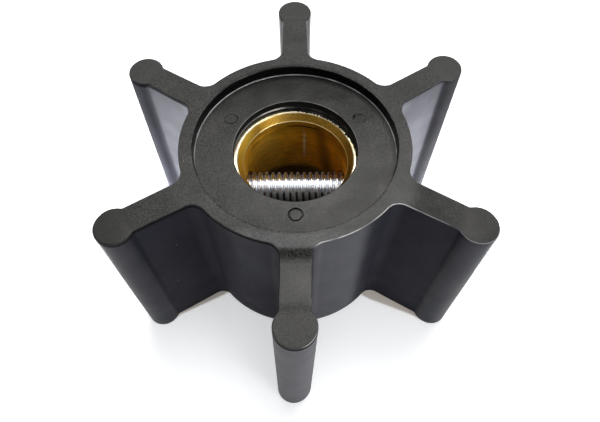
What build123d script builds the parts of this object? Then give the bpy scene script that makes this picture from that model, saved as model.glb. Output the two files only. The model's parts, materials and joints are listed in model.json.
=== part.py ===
from build123d import *
import math
import os

# Flexible-vane pump impeller: a rubber body moulded over a brass insert, with a threaded
# drive screw across the insert's bore. The shaft's slotted end drives it through the screw.
# The axis is Z. The origin is on the axis, at the foot on which the impeller stands.

# --- driving sizes, in millimetres and degrees ---------------------------------------

# rubber body
tip_radius = 29.5           # axis to the outside of a vane's bead
width = 30.2                # length along the axis, the same for hub and vanes
vane_count = 6
first_vane_angle = 30
vane_root_thickness = 4.15  # where the vane leaves the hub
vane_neck_thickness = 3.85  # where the vane runs into its bead
bead_radius = 2.7
root_fillet = 2.0           # vane flank into hub
neck_fillet = 0.7           # vane flank into bead
hub_radius = 16.4
edge_break = 0.25           # outer edges of both ends
recess_radius = 14.45       # sunk ring in each end of the hub
recess_depth = 1.75
recess_edge_break = 0.2
mouth_radius = 8.95         # hole through the rubber, above the insert
lip_radius = 8.8            # the thin lip that closes on the insert's face
lip_height = 0.75

# marks of the three mould pins that hold the insert, in the floor of the upper recess
pin_count = 3
pin_circle_radius = 11.0
pin_radius = 1.03
pin_groove_width = 0.18
pin_groove_depth = 0.3

# brass insert
insert_radius = 12.2
insert_cover = 3.8          # end of the rubber body to the insert's face
insert_edge_chamfer = 0.4
flute_count = 8             # grooves along the insert, which key it in the rubber
flute_radius = 0.9
seat_radius = 7.5           # reamed seat of the shaft, below the screw
relief = 0.22               # the bore above the seat is this much larger in radius
seat_margin = 0.3           # seat's end to the underside of the screw
flare_width = 0.9           # coned mouths of the bore
flare_depth = 1.2

# drive screw
screw_radius = 3.0
screw_height = 17.3         # its axis above the foot
screw_inset = 0.5           # its ends stop this far inside the insert's outside
screw_chamfer = 0.5

# --- sizes that follow ---------------------------------------------------------------

bead_centre = tip_radius - bead_radius
insert_foot = insert_cover
insert_top = width - insert_cover
insert_length = insert_top - insert_foot
relief_radius = seat_radius + relief
seat_end = screw_height - screw_radius - seat_margin
screw_half_length = insert_radius - screw_inset

os.makedirs("parts", exist_ok=True)


# --- brass insert --------------------------------------------------------------------

with BuildPart() as brass_insert:
    # half section, turned about the axis: two coned mouths, the seat and the relieved bore
    with BuildSketch(Plane.XZ):
        with BuildLine():
            Polyline(
                (seat_radius, insert_foot + flare_depth),
                (seat_radius + flare_width, insert_foot),
                (insert_radius - insert_edge_chamfer, insert_foot),
                (insert_radius, insert_foot + insert_edge_chamfer),
                (insert_radius, insert_top - insert_edge_chamfer),
                (insert_radius - insert_edge_chamfer, insert_top),
                (relief_radius + flare_width, insert_top),
                (relief_radius, insert_top - flare_depth),
                (relief_radius, seat_end),
                (seat_radius, seat_end),
                close=True,
            )
        make_face()
    revolve(axis=Axis.Z)

    # flutes along the outside, clear of the screw's two holes
    with BuildSketch(Plane.XY.offset(insert_foot)):
        with PolarLocations(insert_radius, flute_count, start_angle=180 / flute_count):
            Circle(flute_radius)
    extrude(amount=insert_length, mode=Mode.SUBTRACT)

    # tapped hole for the screw, right across
    with BuildSketch(Plane.YZ):
        with Locations((0, screw_height)):
            Circle(screw_radius)
    extrude(amount=insert_radius, both=True, mode=Mode.SUBTRACT)


# --- drive screw ---------------------------------------------------------------------

with BuildPart() as drive_screw:
    with BuildSketch(Plane.YZ):
        with Locations((0, screw_height)):
            Circle(screw_radius)
    extrude(amount=screw_half_length, both=True)
    ends = faces().filter_by(Axis.X).edges()
    chamfer(ends, screw_chamfer)


# --- rubber body ---------------------------------------------------------------------

# plan of one vane along X: a tapering web that starts inside the hub, and its bead
with BuildSketch(mode=Mode.PRIVATE) as vane_plan:
    web_start = hub_radius - root_fillet
    taper = (vane_root_thickness - vane_neck_thickness) / (bead_centre - hub_radius)
    start_thickness = vane_root_thickness + taper * root_fillet
    with BuildLine():
        Polyline(
            (web_start, -start_thickness / 2),
            (bead_centre, -vane_neck_thickness / 2),
            (bead_centre, vane_neck_thickness / 2),
            (web_start, start_thickness / 2),
            close=True,
        )
    make_face()
    with Locations((bead_centre, 0)):
        Circle(bead_radius)
    neck_corners = vane_plan.vertices().group_by(Axis.X)[1]
    fillet(neck_corners, neck_fillet)

# plan of the whole body: a round hub, whose seam is hidden under the first vane, and its vanes
with BuildSketch(mode=Mode.PRIVATE) as body_plan:
    with PolarLocations(0, 1, start_angle=first_vane_angle):
        Circle(hub_radius)
    with PolarLocations(0, vane_count, start_angle=first_vane_angle):
        add(vane_plan.sketch)
    root_corners = body_plan.vertices().filter_by(
        lambda corner: math.hypot(corner.X, corner.Y) < hub_radius + neck_fillet / 10
    )
    fillet(root_corners, root_fillet)

with BuildPart() as rubber_body:
    # hub and vanes run straight along the axis, with their edges broken at both ends
    with BuildSketch(Plane.XY):
        add(body_plan.sketch)
    extrude(amount=width)
    end_faces = faces().filter_by(Axis.Z)
    chamfer(end_faces.edges(), edge_break)

    # hollow along the axis, the same from both ends: recess, mouth and lip
    middle = width / 2
    lip_start = insert_cover - lip_height
    with BuildSketch(Plane.XZ):
        with BuildLine():
            Polyline(
                (0, 0),
                (recess_radius + recess_edge_break, 0),
                (recess_radius, recess_edge_break),
                (recess_radius, recess_depth),
                (mouth_radius, recess_depth),
                (mouth_radius, lip_start),
                (lip_radius, lip_start),
                (lip_radius, middle),
                (0, middle),
                close=True,
            )
        make_face()
        mirror(about=Plane.XZ.offset(-middle))
    revolve(axis=Axis.Z, mode=Mode.SUBTRACT)

    # room for the insert and the screw, which the rubber grips on every side
    add(brass_insert.part, mode=Mode.SUBTRACT)
    add(drive_screw.part, mode=Mode.SUBTRACT)

    # ring marks of the mould's pins
    with BuildSketch(Plane.XY.offset(width - recess_depth)):
        with PolarLocations(pin_circle_radius, pin_count, start_angle=first_vane_angle):
            Circle(pin_radius)
            Circle(pin_radius - pin_groove_width, mode=Mode.SUBTRACT)
    extrude(amount=-pin_groove_depth, mode=Mode.SUBTRACT)


# --- one file for each piece ---------------------------------------------------------

rubber_body.part.label = "rubber_body"
brass_insert.part.label = "brass_insert"
drive_screw.part.label = "drive_screw"

export_step(rubber_body.part, "parts/rubber_body.step")
export_step(brass_insert.part, "parts/brass_insert.step")
export_step(drive_screw.part, "parts/drive_screw.step")
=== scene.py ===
# %% [markdown]
# # A flexible-vane pump impeller
# A pump for cooling water turns this wheel inside an eccentric chamber. Its rubber vanes bend and
# straighten, and so carry the water round. The wheel has three pieces: the moulded rubber body, a
# turned brass insert inside it, and a threaded steel screw across the insert's bore, which drives it.
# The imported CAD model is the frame. Each CAD piece is a little coarse for a close view, so each one
# is replaced here by a finer mesh on the same sizes.

import json
import math
from types import SimpleNamespace

import bmesh
import bpy
import numpy as np
from mathutils import Matrix, Vector
from mathutils.geometry import delaunay_2d_cdt

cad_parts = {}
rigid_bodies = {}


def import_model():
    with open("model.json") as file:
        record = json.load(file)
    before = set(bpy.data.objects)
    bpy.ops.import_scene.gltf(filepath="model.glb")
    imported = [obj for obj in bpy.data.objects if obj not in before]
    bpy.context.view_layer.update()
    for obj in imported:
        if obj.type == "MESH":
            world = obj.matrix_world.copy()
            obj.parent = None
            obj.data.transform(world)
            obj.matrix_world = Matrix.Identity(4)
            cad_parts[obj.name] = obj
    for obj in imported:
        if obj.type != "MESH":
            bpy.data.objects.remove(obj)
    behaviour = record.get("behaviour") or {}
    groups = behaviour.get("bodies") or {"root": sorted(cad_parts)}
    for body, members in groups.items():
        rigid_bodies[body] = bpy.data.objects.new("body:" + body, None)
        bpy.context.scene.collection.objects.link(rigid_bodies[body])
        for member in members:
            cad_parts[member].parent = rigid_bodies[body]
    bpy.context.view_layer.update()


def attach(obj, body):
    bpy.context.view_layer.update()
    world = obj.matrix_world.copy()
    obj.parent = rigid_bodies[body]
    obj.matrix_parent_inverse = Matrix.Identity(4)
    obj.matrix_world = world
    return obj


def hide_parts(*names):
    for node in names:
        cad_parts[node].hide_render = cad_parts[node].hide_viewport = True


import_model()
scene = bpy.context.scene
MM = 0.001

# %% [markdown]
# ## Camera
# The camera stands in front of the wheel and looks down on it. A turn about Z gives its heading, a
# turn about X its tilt from straight down, and a last small turn about its own axis its roll.

# %% Set the camera
def link(name, data):
    """A new object in the scene, at the origin."""
    obj = bpy.data.objects.new(name, data)
    scene.collection.objects.link(obj)
    return obj


def camera_at(place, heading, tilt, roll, lens):
    """A camera at a place in mm, with angles in degrees and the lens in mm."""
    data = bpy.data.cameras.new("camera")
    data.sensor_width = 36
    data.lens = lens
    data.clip_start, data.clip_end = 0.002, 20
    camera = link("camera", data)
    turn = (Matrix.Rotation(math.radians(heading), 4, "Z")
            @ Matrix.Rotation(math.radians(tilt), 4, "X")
            @ Matrix.Rotation(math.radians(roll), 4, "Z"))
    camera.matrix_world = Matrix.Translation(Vector(place) * MM) @ turn
    return camera


scene.camera = camera_at((0.20, -46.20, 88.42), heading=-0.60, tilt=30.79, roll=0.183, lens=31.55)
scene.view_settings.view_transform = "Standard"
print("camera at", [round(v / MM, 1) for v in scene.camera.location], "mm")

# %% [markdown]
# ## Sizes
# These are the sizes of the CAD model, in millimetres, with the small radii of a real moulding.
# The vane's tip stays a hair inside the CAD piece, whose facets cut off a little of the round bead.

# %% Sizes of the rubber body and the insert
WIDTH = 30.2
TIP = 29.485
HUB = 16.4
VANES = 6
BEAD = 2.7
BEAD_CENTRE = TIP - BEAD
ROOT_THICK, NECK_THICK = 4.15, 3.85
ROOT_FILLET, NECK_FILLET = 2.0, 0.7
EDGE = 0.21
RECESS, RECESS_DEPTH, RECESS_BREAK = 14.45, 1.75, 0.2
MOUTH, LIP, LIP_HEIGHT = 8.95, 8.8, 0.75
INSERT, COVER = 12.2, 3.8
SEAT, RELIEVED, SEAT_END = 7.5, 7.72, 14.0
FLARE_WIDE, FLARE_DEEP = 0.9, 1.2
SCREW, SCREW_AT, SCREW_HALF = 3.0, 17.3, 11.7
FLUTE, FLUTES = 0.9, 8
FIRST_VANE, VANE_PITCH, TURN = 30, 60, 360
print("bead centres lie", round(BEAD_CENTRE, 3), "mm from the axis")

# %% [markdown]
# ## Small helpers
# A mesh is made from points in millimetres and lists of point numbers. Every object stays at the
# origin, so its place is in its points, as with the CAD pieces.

# %% Helpers for meshes
def make_mesh(name, points, faces):
    """A linked mesh object from points in mm."""
    mesh = bpy.data.meshes.new(name)
    mesh.from_pydata((np.asarray(points, float) * MM).tolist(), [], faces)
    mesh.validate()
    return link(name, mesh)


def tidy(obj, gap=0.002):
    """Merges doubles closer than gap mm, turns all faces outwards and counts the open edges."""
    bm = bmesh.new()
    bm.from_mesh(obj.data)
    bmesh.ops.remove_doubles(bm, verts=bm.verts, dist=gap * MM)
    bmesh.ops.dissolve_degenerate(bm, edges=bm.edges, dist=0.0005 * MM)
    bmesh.ops.recalc_face_normals(bm, faces=bm.faces)
    open_edges = sum(1 for e in bm.edges if len(e.link_faces) != 2)
    for f in bm.faces:
        f.smooth = True
    bm.to_mesh(obj.data)
    bm.free()
    return open_edges


def fill_plane(loops, inner, keep):
    """Triangles over a flat region, from closed loops, loose inner points and a test of what to keep."""
    points, edges = [], []
    for loop in loops:
        first = len(points)
        points += [tuple(p) for p in loop]
        edges += [(first + i, first + (i + 1) % len(loop)) for i in range(len(loop))]
    points += [tuple(p) for p in inner]
    made, _, tris, *_ = delaunay_2d_cdt([Vector(p) for p in points], edges, [], 0, 1e-6)
    made = np.array([tuple(p) for p in made])
    out = []
    for t in tris:
        a, b, c = made[t[0]], made[t[1]], made[t[2]]
        area = (b[0] - a[0]) * (c[1] - a[1]) - (b[1] - a[1]) * (c[0] - a[0])
        if abs(area) > 1e-9 and keep((a + b + c) / 3):
            out.append(t if area > 0 else [t[0], t[2], t[1]])
    return made, out


def hex_points(low, high, step):
    """A honeycomb of points over a rectangle."""
    rows = []
    for k, y in enumerate(np.arange(low[1], high[1], step * 0.866)):
        xs = np.arange(low[0] + (k % 2) * step / 2, high[0], step)
        rows += [(x, y) for x in xs]
    return np.array(rows)


# %% [markdown]
# ## Plan of one vane
# Seen from above, half a vane runs from the hub's circle through a wide fillet, along a web that
# tapers outwards, through a small fillet into the neck, and round the bead. Every stretch is a line
# or an arc that touches its neighbours, so the tangent points come from two quadratic equations.

# %% Outline of one sixth of the wheel
def arc(centre, radius, start, end, step, inward=False):
    """Points and outward normals along an arc. On a fillet the normal points to the centre."""
    count = max(3, math.ceil(abs(end - start) * radius / step))
    angle = np.linspace(start, end, count + 1)
    way = np.stack([np.cos(angle), np.sin(angle)], 1)
    return np.asarray(centre) + radius * way, -way if inward else way


def half_vane(step=0.28):
    """From the middle of a gap between vanes to the tip of the vane that lies along +X."""
    slope = -(ROOT_THICK - NECK_THICK) / 2 / (BEAD_CENTRE - HUB)
    lift = NECK_THICK / 2 - slope * BEAD_CENTRE
    long = math.hypot(1, slope)

    def touching(side, middle, reach, sign):
        # centre of a circle that rests on the web's edge and touches a circle round (middle, 0)
        a, b = 1 + slope ** 2, slope * (lift + side * long) - middle
        c = middle ** 2 + (lift + side * long) ** 2 - reach ** 2
        x = (-b + sign * math.sqrt(b * b - a * c)) / a
        return np.array([x, lift + slope * x + side * long])

    root = touching(ROOT_FILLET, 0, HUB + ROOT_FILLET, 1)
    neck = touching(NECK_FILLET, BEAD_CENTRE, BEAD + NECK_FILLET, -1)
    down = math.atan2(-1, slope)
    at_hub = math.atan2(root[1], root[0])
    at_bead = math.atan2(neck[1], neck[0] - BEAD_CENTRE)
    hub = arc((0, 0), HUB, math.pi / VANES, at_hub, step)
    fillet = arc(root, ROOT_FILLET, at_hub - math.pi, down, step * 0.7, True)
    small = arc(neck, NECK_FILLET, down, at_bead - math.pi, step * 0.5, True)
    bead = arc((BEAD_CENTRE, 0), BEAD, at_bead, 0, step * 0.8)
    web_from, web_to = fillet[0][-1], small[0][0]
    count = math.ceil((web_to - web_from)[0] / step)
    share = np.linspace(0, 1, count + 1)[1:-1, None]
    web = web_from + (web_to - web_from) * share, np.tile((-slope / long, 1 / long), (count - 1, 1))
    parts = [hub, (fillet[0][1:], fillet[1][1:]), web, small, (bead[0][1:], bead[1][1:])]
    return np.concatenate([p[0] for p in parts]), np.concatenate([p[1] for p in parts])


points, normals = half_vane()
flip = np.array([1, -1])
plan = np.concatenate([points * flip, points[-2::-1]])
plan_normal = np.concatenate([normals * flip, normals[-2::-1]])
print("points round one sixth:", len(plan), "tip at", round(plan[:, 0].max(), 3), "mm")

# %% [markdown]
# ## Wall and end faces of one sixth
# The wall is a stack of copies of the outline. Near each end the copies step inwards on a quarter
# circle, which rounds the edge. The flat ends are filled by a triangulation with loose inner points,
# so that they can take the shallow sink marks of a real moulding.

# %% Wall of one sixth
QUARTER = [math.radians(a) for a in (0, 15, 30, 45, 60, 75, 90)]
SUPPORT = 0.14  # a ring of points this far inside the rounded edge keeps the end face flat
WALL_ROWS, WALL_FROM = 12, 1.2


def rounded_rows():
    """Height and inset of each copy of the outline, from the lower end to the upper end."""
    lower = [(EDGE * (1 - math.cos(a)), EDGE * (1 - math.sin(a))) for a in QUARTER]
    between = [(z, 0.0) for z in np.linspace(WALL_FROM, WIDTH - WALL_FROM, WALL_ROWS)]
    return lower + between + [(WIDTH - z, inset) for z, inset in lower[::-1]]


sector_points, sector_faces = [], []
for height, inset in rounded_rows():
    sector_points += [(x, y, height) for x, y in plan - plan_normal * inset]
across = len(plan)
for k in range(len(rounded_rows()) - 1):
    for i in range(k * across, (k + 1) * across - 1):
        sector_faces.append((i, i + 1, i + 1 + across, i + across))
print("wall of one sixth:", len(sector_faces), "faces")


# %% End faces of one sixth
def inside(point, polygon):
    """Whether a point lies inside a closed outline."""
    x, y = point
    xs, ys = polygon[:, 0], polygon[:, 1]
    x2, y2 = np.roll(xs, -1), np.roll(ys, -1)
    crossed = (ys > y) != (y2 > y)
    with np.errstate(divide="ignore", invalid="ignore"):
        return bool((crossed & (x < (x2 - xs) * (y - ys) / (y2 - ys) + xs)).sum() % 2)


inner_radius = RECESS + RECESS_BREAK
side_angle = math.pi / VANES
side_radii = np.linspace(inner_radius, HUB - EDGE, 6)[1:-1, None]
side = side_radii * (math.cos(side_angle), math.sin(side_angle))
turns = np.linspace(side_angle, -side_angle, TURN // VANES + 1)
inner_arc = inner_radius * np.stack([np.cos(turns), np.sin(turns)], 1)
boundary = np.concatenate([plan - plan_normal * EDGE, side[::-1], inner_arc, side * flip])
honeycomb = hex_points((12, -9), (30, 9), 0.46)
support = (plan - plan_normal * (EDGE + SUPPORT))[1:-1]
loose = [p for points, gap in ((honeycomb, 0.3), (support, 0.1)) for p in points
         if inside(p, boundary) and np.hypot(*(boundary - p).T).min() > gap]
flat, flat_faces = fill_plane([boundary], loose, lambda c: inside(c, boundary))
for height, order in ((0.0, -1), (WIDTH, 1)):
    first = len(sector_points)
    sector_points += [(x, y, height) for x, y in flat]
    sector_faces += [tuple(first + i for i in f[::order]) for f in flat_faces]
print("one sixth:", len(sector_points), "points,", len(sector_faces), "faces")

# %% [markdown]
# ## Draft
# The hub is a little slimmer at its lower end, so that the wheel leaves the mould. The vanes have no
# draft: their flanks are straight, and the rubber bends out of the way.

# %% Give the hub its draft
HUB_DRAFT = 0.5
DRAFT_STARTS, DRAFT_ENDS = (15.0, 16.2), (17.5, 21.0)  # radii: from the ring to the vanes


def step_between(value, low, high):
    """0 below low, 1 above high, smooth between."""
    t = np.clip((value - low) / (high - low), 0, 1)
    return t * t * (3 - 2 * t)


body = np.array(sector_points, float)
radius = np.hypot(body[:, 0], body[:, 1])
outside = step_between(radius, *DRAFT_STARTS) * (1 - step_between(radius, *DRAFT_ENDS))
body[:, :2] *= (1 - HUB_DRAFT * (1 - body[:, 2] / WIDTH) * outside / radius)[:, None]
sixth = make_mesh("body_sixth", body, sector_faces)
print("sixth of the body:", len(sixth.data.polygons), "faces")

# %% [markdown]
# ## Lining of the body
# Inwards of the end faces everything is turned about the axis: the recess, its floor, the mouth, the
# thin lip that closes on the insert, and the cavity that holds the insert with its flutes. The lip is
# a moulding flash, so its edge wanders. At the right it reaches in over the brass, torn and ragged.
# At the back left it has come away, and leaves the brass rim bare.

# %% Profile rings and the fluted outline
angles = np.arange(TURN) * 2 * math.pi / TURN
circle = np.stack([np.cos(angles), np.sin(angles)], 1)


def fluted(inset=0.0):
    """Radius of the insert's outside at each angle, with its flutes."""
    pitch = 2 * math.pi / FLUTES
    off = angles % pitch - pitch / 2
    depth = np.clip(FLUTE ** 2 - (INSERT * np.sin(off)) ** 2, 0, None)
    cut = INSERT * np.cos(off) - np.sqrt(depth)
    return np.minimum(np.where(depth > 0, cut, INSERT), INSERT) - inset


def wander(size, lumps, seed):
    """A closed random line round the turn, from smooth waves of many lengths."""
    made = np.random.default_rng(seed)
    line = np.zeros(TURN)
    for k in lumps:
        line += made.normal() * np.cos(k * angles + made.uniform(0, 6.3))
    return size * line / np.abs(line).max()


def ring_rows(profile):
    """Points of rings round the axis. A profile entry is a radius, or one for each angle, and a height."""
    points = []
    for r, z in profile:
        r = np.broadcast_to(r, (TURN,))
        z = np.broadcast_to(z, (TURN,))
        points.append(np.column_stack([circle * r[:, None], z]))
    return points


def supported(profile, gap=0.03, step=1.5, closed=False):
    """Adds profile points close to each corner and along long runs, so that flats stay flat when shaded."""
    made = []
    ends = profile[1:] + (profile[:1] if closed else [])
    for (r1, z1), (r2, z2) in zip(profile, ends):
        long = math.hypot(float(np.mean(r2) - np.mean(r1)), float(np.mean(z2) - np.mean(z1)))
        shares = [0.0]
        if long > 6 * gap:
            shares += [gap / long, *np.linspace(0, 1, math.ceil(long / step) + 1)[1:-1], 1 - gap / long]
        made += [(r1 + (r2 - r1) * t, z1 + (z2 - z1) * t) for t in shares]
    return made if closed else made + [profile[-1]]


def sweep(rings, closed=False):
    """Quads between neighbouring rings."""
    faces = []
    count = len(rings)
    for k in range(count if closed else count - 1):
        a, b = k * TURN, ((k + 1) % count) * TURN
        for i in range(TURN):
            j = (i + 1) % TURN
            faces.append((a + i, a + j, b + j, b + i))
    return np.concatenate(rings), faces


def round_corner(centre, size, start, end, steps=4):
    """Profile points on a quarter circle, as radius and depth, angles in degrees."""
    turn = np.radians(np.linspace(start, end, steps + 1))
    return [(centre[0] + size * math.cos(a), centre[1] + size * math.sin(a)) for a in turn]


# %% Turned surfaces of the lining
FLOOR_ROUND, MOUTH_ROUND = 0.22, 0.12
RIDGE_REACH = 0.14  # how far the lip's ridge may follow its ragged edge
# where the edge is torn and where the rim is bare: degrees at which that begins, is full, fades and ends
TORN, BARE = (8, 30, 84, 92), (92, 110, 185, 215)
TORN_IN, TORN_LUMPS, BARE_OUT = 0.20, 0.30, 0.40
floor_outer, floor_inner = RECESS - FLOOR_ROUND, MOUTH + MOUTH_ROUND


def recess_wall():
    """From the end face to the recess floor, as radius and depth below the end face."""
    return (round_corner((RECESS + RECESS_BREAK, RECESS_BREAK), RECESS_BREAK, -90, -180)
            + round_corner((floor_outer, RECESS_DEPTH - FLOOR_ROUND), FLOOR_ROUND, 0, 90))


def mouth_and_lip(flash):
    """From the recess floor down the mouth, over the lip to the insert's face."""
    top = COVER - LIP_HEIGHT
    ridge = LIP + np.clip(flash, 0, RIDGE_REACH)
    return (round_corner((floor_inner, RECESS_DEPTH + MOUTH_ROUND), MOUTH_ROUND, -90, -180)
            + [(MOUTH, top - 0.14), (MOUTH - 0.03, top - 0.03), (ridge + 0.05, top + 0.03),
               (ridge, top + 0.16), (ridge, COVER - 0.28), (LIP + flash * 0.6, COVER - 0.1),
               (LIP + flash, COVER)])


def flip_depth(profile):
    """The same profile at the upper end, as radius and height."""
    return [(r, WIDTH - z) for r, z in profile]


def on_turn(begins, full, fades, ends):
    """1 from full to fades, and 0 before it begins and once it ends, all in degrees."""
    turned = np.degrees(angles)
    return step_between(turned, begins, full) * (1 - step_between(turned, fades, ends))


flash_line = wander(0.07, range(9, 90), 3) + wander(0.05, range(2, 8), 4)
flash_line -= on_turn(*TORN) * (TORN_IN + wander(TORN_LUMPS, range(20, 120), 5))
flash_line += on_turn(*BARE) * BARE_OUT
cavity = [(fluted(), WIDTH - COVER), (fluted(), COVER)]
inner_wall = (flip_depth(mouth_and_lip(flash_line)) + cavity
              + mouth_and_lip(0.5 * flash_line)[::-1])
outer_upper, outer_lower = flip_depth(recess_wall()), recess_wall()[::-1]
strips = [sweep(ring_rows(supported(profile))) for profile in (outer_upper, inner_wall, outer_lower)]
print("rings in the lining:", len(outer_upper) + len(inner_wall) + len(outer_lower))

# %% [markdown]
# ## Pin marks
# Three pins of the mould hold the insert while the rubber flows round it. Each leaves a disc with a
# fine groove round it in the recess floor. No two came out alike: one is level, one is sunk on one
# side, one stands a little proud.

# %% Recess floors, the upper one with its pin marks
PIN_CIRCLE, PIN = 11.0, 1.03
pins = [
    # angle, groove width, groove depth, level of the disc, its tilt along X and Y, its roughness
    (270, 0.17, 0.26, -0.03, (0.0, 0.0), 0.05),
    (30, 0.12, 0.12, -0.20, (0.22, -0.10), 0.01),
    (150, 0.10, 0.09, 0.04, (0.02, -0.03), 0.01),
]


def pin_level(x, y):
    """Height of the recess floor near the pin marks, relative to the floor."""
    level = np.zeros_like(x)
    for angle, width, depth, disc, tilt, rough in pins:
        a = math.radians(angle)
        dx, dy = x - PIN_CIRCLE * math.cos(a), y - PIN_CIRCLE * math.sin(a)
        r = np.hypot(dx, dy)
        rim = PIN - width
        on_disc = 1 - step_between(r, rim - 0.05, rim + 0.01)
        in_groove = step_between(r, rim - 0.05, rim) * (1 - step_between(r, PIN - 0.04, PIN + 0.02))
        level += on_disc * (disc + tilt[0] * dx + tilt[1] * dy) - in_groove * depth
        level -= on_disc * rough * (1 + np.sin(dx * 23 + dy * 9) * np.sin(dy * 19 - dx * 13))
    return level


def recess_floor(height, marked):
    """The flat ring of a recess floor, with finer triangles at the pin marks."""
    loose = hex_points((-floor_outer,) * 2, (floor_outer,) * 2, 0.8)
    r = np.hypot(*loose.T)
    loose = loose[(r < floor_outer - 0.4) & (r > floor_inner + 0.4)]
    for angle, width, *_ in pins if marked else ():
        a, rim = math.radians(angle), PIN - width
        middle = PIN_CIRCLE * np.array([math.cos(a), math.sin(a)])
        loose = loose[np.hypot(*(loose - middle).T) > PIN + 0.35]
        fine = np.linspace(0, 2 * math.pi, 64, endpoint=False)
        way = np.stack([np.cos(fine), np.sin(fine)], 1)
        for ring in (PIN + 0.12, PIN + 0.02, PIN - 0.01, PIN - 0.04,
                     rim, rim - 0.025, rim - 0.05, rim - 0.14):
            loose = np.concatenate([loose, middle + ring * way])
        disc = hex_points(middle - PIN, middle + PIN, 0.13)
        loose = np.concatenate([loose, disc[np.hypot(*(disc - middle).T) < rim - 0.2]])
    flat, faces = fill_plane([circle * floor_outer, circle * floor_inner], loose,
                             lambda c: floor_inner < np.hypot(*c) < floor_outer)
    level = pin_level(flat[:, 0], flat[:, 1]) if marked else 0.0 * flat[:, 0]
    return np.column_stack([flat, height + level]), faces


floor_up = recess_floor(WIDTH - RECESS_DEPTH, True)
floor_down = recess_floor(RECESS_DEPTH, False)
floor_down = floor_down[0], [f[::-1] for f in floor_down[1]]
lining_points, lining_faces = [], []
for part_points, part_faces in (*strips, floor_up, floor_down):
    first = sum(len(p) for p in lining_points)
    lining_points.append(part_points)
    lining_faces += [tuple(first + i for i in f) for f in part_faces]
lining = make_mesh("body_lining", np.concatenate(lining_points), lining_faces)
print("lining:", len(lining.data.polygons), "faces")

# %% [markdown]
# ## Six sixths make a wheel
# The vanes repeat round the axis, which is a rule, so Geometry Nodes do it: points, one turned copy of
# the sixth on each, and the copies joined to the lining. Merging by distance closes the joints.

# %% Wiring of a node tree
class Wiring:
    """The nodes of one tree. Each method adds nodes to it."""

    def __init__(self, tree):
        self.tree = tree

    def node(self, kind, links=(), **settings):
        """One node. Its inputs get sockets or values, by name or number."""
        made = self.tree.nodes.new(kind)
        for key, value in settings.items():
            setattr(made, key, value)
        for key, value in dict(links).items():
            if isinstance(value, bpy.types.NodeSocket):
                self.tree.links.new(value, made.inputs[key])
            else:
                made.inputs[key].default_value = value
        return made

    def calc(self, operation, *values):
        """The result of one Math node."""
        return self.node("ShaderNodeMath", dict(enumerate(values)), operation=operation).outputs[0]


def new_tree(name, inputs):
    """An empty geometry node tree with named inputs: its wiring and its input sockets."""
    tree = bpy.data.node_groups.new(name, "GeometryNodeTree")
    tree.interface.new_socket("Geometry", in_out="INPUT", socket_type="NodeSocketGeometry")
    for label, kind, value in inputs:
        made = tree.interface.new_socket(label, in_out="INPUT", socket_type="NodeSocket" + kind)
        if value is not None:
            made.default_value = value
    tree.interface.new_socket("Geometry", in_out="OUTPUT", socket_type="NodeSocketGeometry")
    w = Wiring(tree)
    return w, w.node("NodeGroupInput").outputs


def dress(w, geometry, merge_gap, material):
    """Ends a tree: merges close points, makes copies real and sets the material."""
    merged = w.node("GeometryNodeMergeByDistance", {"Geometry": geometry, "Distance": merge_gap})
    real = w.node("GeometryNodeRealizeInstances", {0: merged.outputs[0]})
    dressed = w.node("GeometryNodeSetMaterial", {"Geometry": real.outputs[0], "Material": material})
    w.node("NodeGroupOutput", {0: dressed.outputs[0]})
    return w.tree


# %% Geometry Nodes: copies round the axis
def copies_round_axis():
    """Tree that turns copies of a mesh round Z and joins them to another object."""
    w, given = new_tree("copies_round_axis", [
        ("Copies", "Int", 6), ("First Angle", "Float", 0.0), ("Join To", "Object", None),
        ("Merge Gap", "Float", 0.000002), ("Material", "Material", None)])
    spots = w.node("GeometryNodeMeshLine", {"Count": given["Copies"], "Offset": (0, 0, 0)})
    number = w.node("GeometryNodeInputIndex").outputs[0]
    pitch = w.calc("DIVIDE", 2 * math.pi, given["Copies"])
    turn = w.node("ShaderNodeCombineXYZ", {
        "Z": w.calc("MULTIPLY_ADD", number, pitch, given["First Angle"])})
    placed = w.node("GeometryNodeInstanceOnPoints", {
        "Points": spots.outputs[0], "Instance": given["Geometry"], "Rotation": turn.outputs[0]})
    real = w.node("GeometryNodeRealizeInstances", {0: placed.outputs[0]})
    other = w.node("GeometryNodeObjectInfo", {"Object": given["Join To"]})
    joined = w.node("GeometryNodeJoinGeometry", {0: real.outputs[0]})
    w.tree.links.new(other.outputs["Geometry"], joined.inputs[0])
    return dress(w, joined.outputs[0], given["Merge Gap"], given["Material"])


def taken_mesh(obj, modifier):
    """The mesh that an object has with its modifier, which is then removed."""
    bpy.context.view_layer.update()
    evaluated = obj.evaluated_get(bpy.context.evaluated_depsgraph_get())
    mesh = bpy.data.meshes.new_from_object(evaluated)
    obj.modifiers.remove(modifier)
    return mesh


def baked(source, name, tree, values):
    """The plain mesh that a tree makes of a source object, as a new object."""
    modifier = source.modifiers.new(tree.name, "NODES")
    modifier.node_group = tree
    for item in tree.interface.items_tree:
        if item.item_type == "SOCKET" and item.in_out == "INPUT" and item.name in values:
            modifier[item.identifier] = values[item.name]
    mesh = taken_mesh(source, modifier)
    mesh.name = name
    return link(name, mesh)


# %% Build the wheel
rubber = bpy.data.materials.new("moulded_rubber")
wheel = baked(sixth, "impeller_body", copies_round_axis(), {
    "Copies": VANES, "First Angle": math.radians(FIRST_VANE), "Join To": lining, "Material": rubber})
for used in (sixth, lining):
    bpy.data.objects.remove(used)
print("open edges of the body:", tidy(wheel))
print("wheel:", len(wheel.data.polygons), "faces")

# %% [markdown]
# ## Vanes as they stand
# Rubber vanes never stand quite straight: each one leans a few tenths of a millimetre to one side.
# The end face also sinks a little where thick rubber meets thin, because thick rubber shrinks more as
# it cools. Both are a small move of the finished mesh, in the plan of each vane.

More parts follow.
